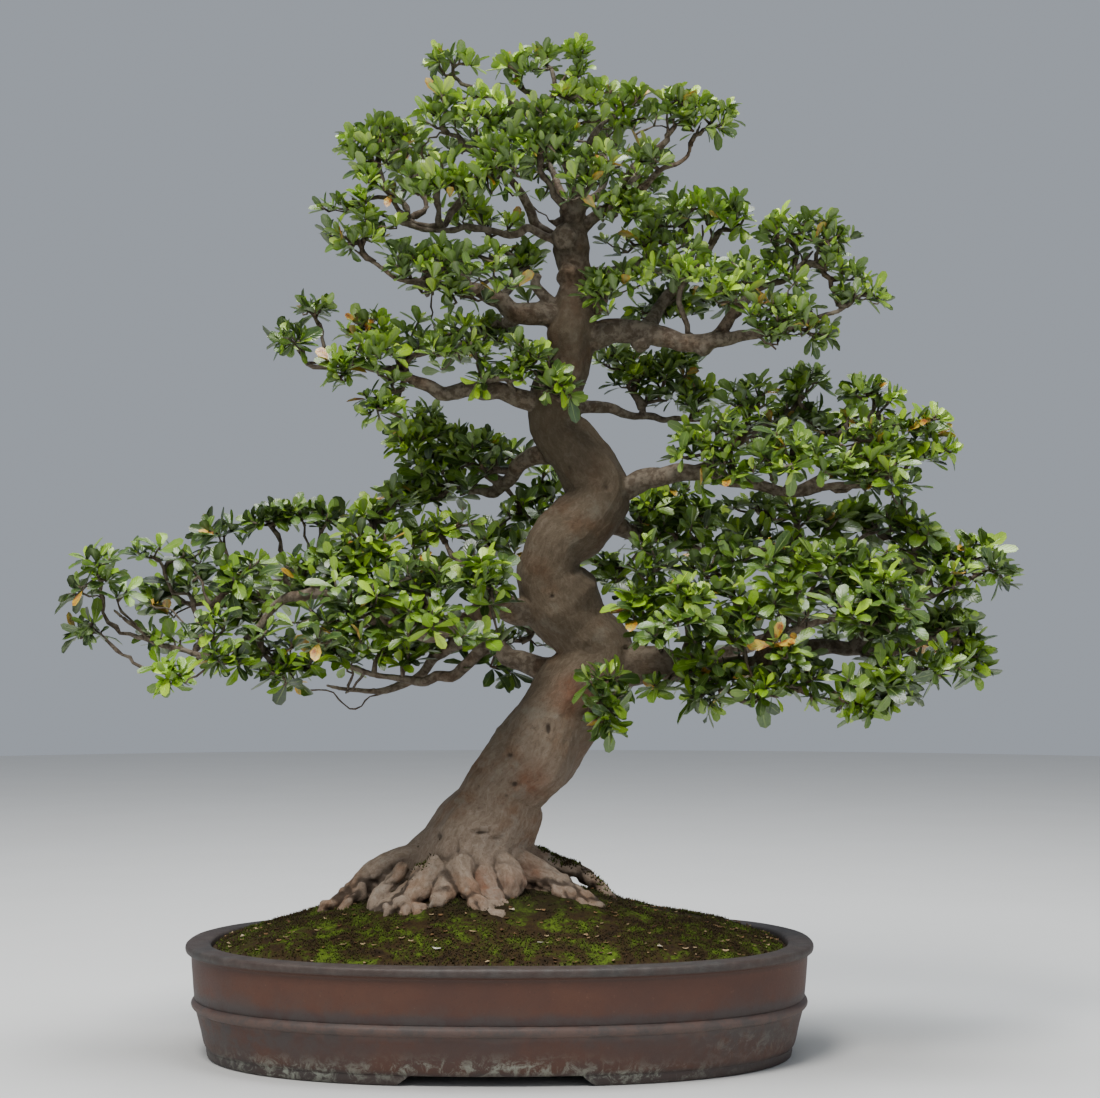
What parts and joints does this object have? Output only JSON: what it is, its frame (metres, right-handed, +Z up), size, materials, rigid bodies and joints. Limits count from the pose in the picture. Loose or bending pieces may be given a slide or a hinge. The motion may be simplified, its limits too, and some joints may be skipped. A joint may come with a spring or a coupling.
{
  "type": "potted bonsai tree",
  "caption": "Informal upright evergreen azalea bonsai with a flared root base, in tiers of small-leaved foliage, growing from a mossy mound in an unglazed oval stoneware pot.",
  "frame": {"origin": "on the surface the pot stands on, under the middle of the whole object's outline; the middle of the pot's foot is 30.5 mm to the -X side and 8 mm to the -Y side of it", "axes": "+Z up, +X to the right of the tree's front along the pot's long side, -Y towards the viewer of the front"},
  "size_m": [0.7287, 0.315, 0.7501],
  "materials": {
    "stoneware": "unglazed red-brown, matte",
    "black_plastic": "matte mesh",
    "soil": "damp granular earth",
    "moss": "short soft pile",
    "bark": "weathered grey-brown bark",
    "leaf": "semi-gloss leaf with a faint bluish sheen"
  },
  "bodies": {
    "root": {"pot": "stoneware", "drain_mesh_left": "black_plastic", "drain_mesh_right": "black_plastic", "soil": "soil", "moss": "moss", "trunk": "bark", "spray_left_low_01": "leaf", "spray_left_low_02": "leaf", "spray_left_low_03": "leaf", "spray_left_low_04": "leaf", "spray_left_low_05": "leaf", "spray_left_low_06": "leaf", "spray_left_low_07": "leaf", "spray_left_low_08": "leaf", "spray_left_low_09": "leaf", "spray_left_low_10": "leaf", "spray_left_low_11": "leaf", "spray_mid_left_01": "leaf", "spray_mid_left_02": "leaf", "spray_left_mid_01": "leaf", "spray_left_mid_02": "leaf", "spray_left_mid_03": "leaf", "spray_left_mid_04": "leaf", "spray_right_mid_01": "leaf", "spray_right_mid_02": "leaf", "spray_right_mid_03": "leaf", "spray_right_mid_04": "leaf", "spray_right_mid_05": "leaf", "spray_mid_right_01": "leaf", "spray_right_low_01": "leaf", "spray_right_low_02": "leaf", "spray_right_low_03": "leaf", "spray_right_low_04": "leaf", "spray_right_low_05": "leaf", "spray_right_low_06": "leaf", "spray_right_low_07": "leaf", "spray_right_low_08": "leaf", "spray_right_low_09": "leaf", "spray_right_low_10": "leaf", "spray_right_low_11": "leaf", "spray_right_low_12": "leaf", "spray_trunk_front": "leaf", "spray_right_upper_01": "leaf", "spray_right_upper_02": "leaf", "spray_right_upper_03": "leaf", "spray_right_upper_04": "leaf", "spray_right_upper_05": "leaf", "spray_right_upper_06": "leaf", "spray_left_upper_01": "leaf", "spray_left_upper_02": "leaf", "spray_left_upper_03": "leaf", "spray_apex_01": "leaf", "spray_apex_02": "leaf", "spray_apex_03": "leaf", "spray_apex_04": "leaf", "spray_apex_05": "leaf", "spray_apex_06": "leaf", "spray_apex_07": "leaf", "spray_apex_08": "leaf", "spray_apex_09": "leaf"}
  },
  "joints": []
}
